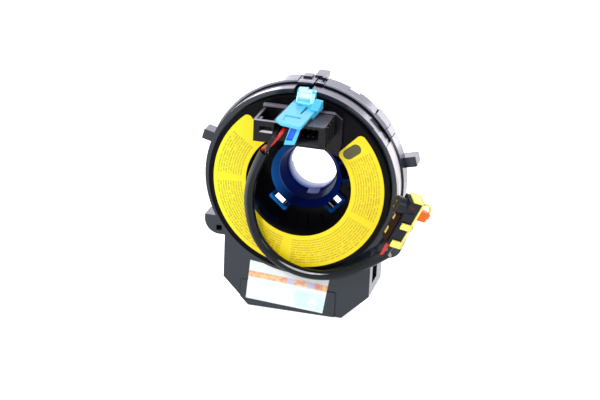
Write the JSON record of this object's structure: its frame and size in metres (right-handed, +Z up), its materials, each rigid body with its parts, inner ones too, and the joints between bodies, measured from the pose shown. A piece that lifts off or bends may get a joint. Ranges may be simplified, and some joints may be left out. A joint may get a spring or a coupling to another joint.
{
  "type": "steering clock spring",
  "caption": "Steering column clock spring with a spiral cable rotor, cancel sleeve, lock tab, header box and a plug on a short lead.",
  "frame": {"origin": "centre of the steering shaft bore at its rear rim", "axes": "+Y along the shaft axis towards the column, +Z up, +X to the right seen from the driver"},
  "size_m": [0.1254, 0.0643, 0.1227],
  "materials": {
    "housing": "satin",
    "rotor": "satin",
    "label_yellow": "satin",
    "label_white": "satin",
    "header_black": "satin",
    "header_yellow": "satin",
    "contacts": "satin",
    "cable": "satin",
    "sleeve_blue": "satin",
    "lock_blue": "satin",
    "wire_red": "satin",
    "wire_black": "satin",
    "sheath": "satin",
    "plug_black": "satin",
    "plug_brown": "satin",
    "plug_yellow": "satin",
    "tab_orange": "satin"
  },
  "bodies": {
    "stator": {"rear_case": "housing", "front_cover": "housing", "box_cover": "housing", "box_label": "label_white", "side_label": "label_white", "main_header": "header_black", "main_terminals": "contacts", "airbag_header": "header_yellow", "airbag_terminals": "contacts", "flat_cable": "cable", "outer_carrier": "header_black"},
    "rotor": {"rotor_disc": "rotor", "face_label": "label_yellow", "connector_block": "rotor", "block_terminals": "contacts", "inner_carrier": "header_black", "cancel_sleeve": "sleeve_blue", "red_wire": "wire_red", "black_wire": "wire_black", "harness_sheath": "sheath", "plug_body": "plug_black", "plug_lid": "plug_brown", "plug_contacts": "contacts"},
    "lock": {"lock_tab": "lock_blue"},
    "plug_lock": {"plug_lock": "plug_yellow", "plug_tab": "tab_orange"}
  },
  "joints": [
    {"name": "rotor_spin", "type": "hinge", "parent": "stator", "child": "rotor", "pos_m": [0, 0, 0], "axis": [0, 1, 0], "range_deg": [-900, 900], "deforming": ["flat_cable"]},
    {"name": "lock_pull", "type": "slide", "parent": "rotor", "child": "lock", "axis": [0, -1, 0], "range_m": [0, 0.028]},
    {"name": "plug_lock_slide", "type": "slide", "parent": "rotor", "child": "plug_lock", "axis": [0.7881, 0.5, -0.359], "range_m": [0, 0.002]}
  ]
}
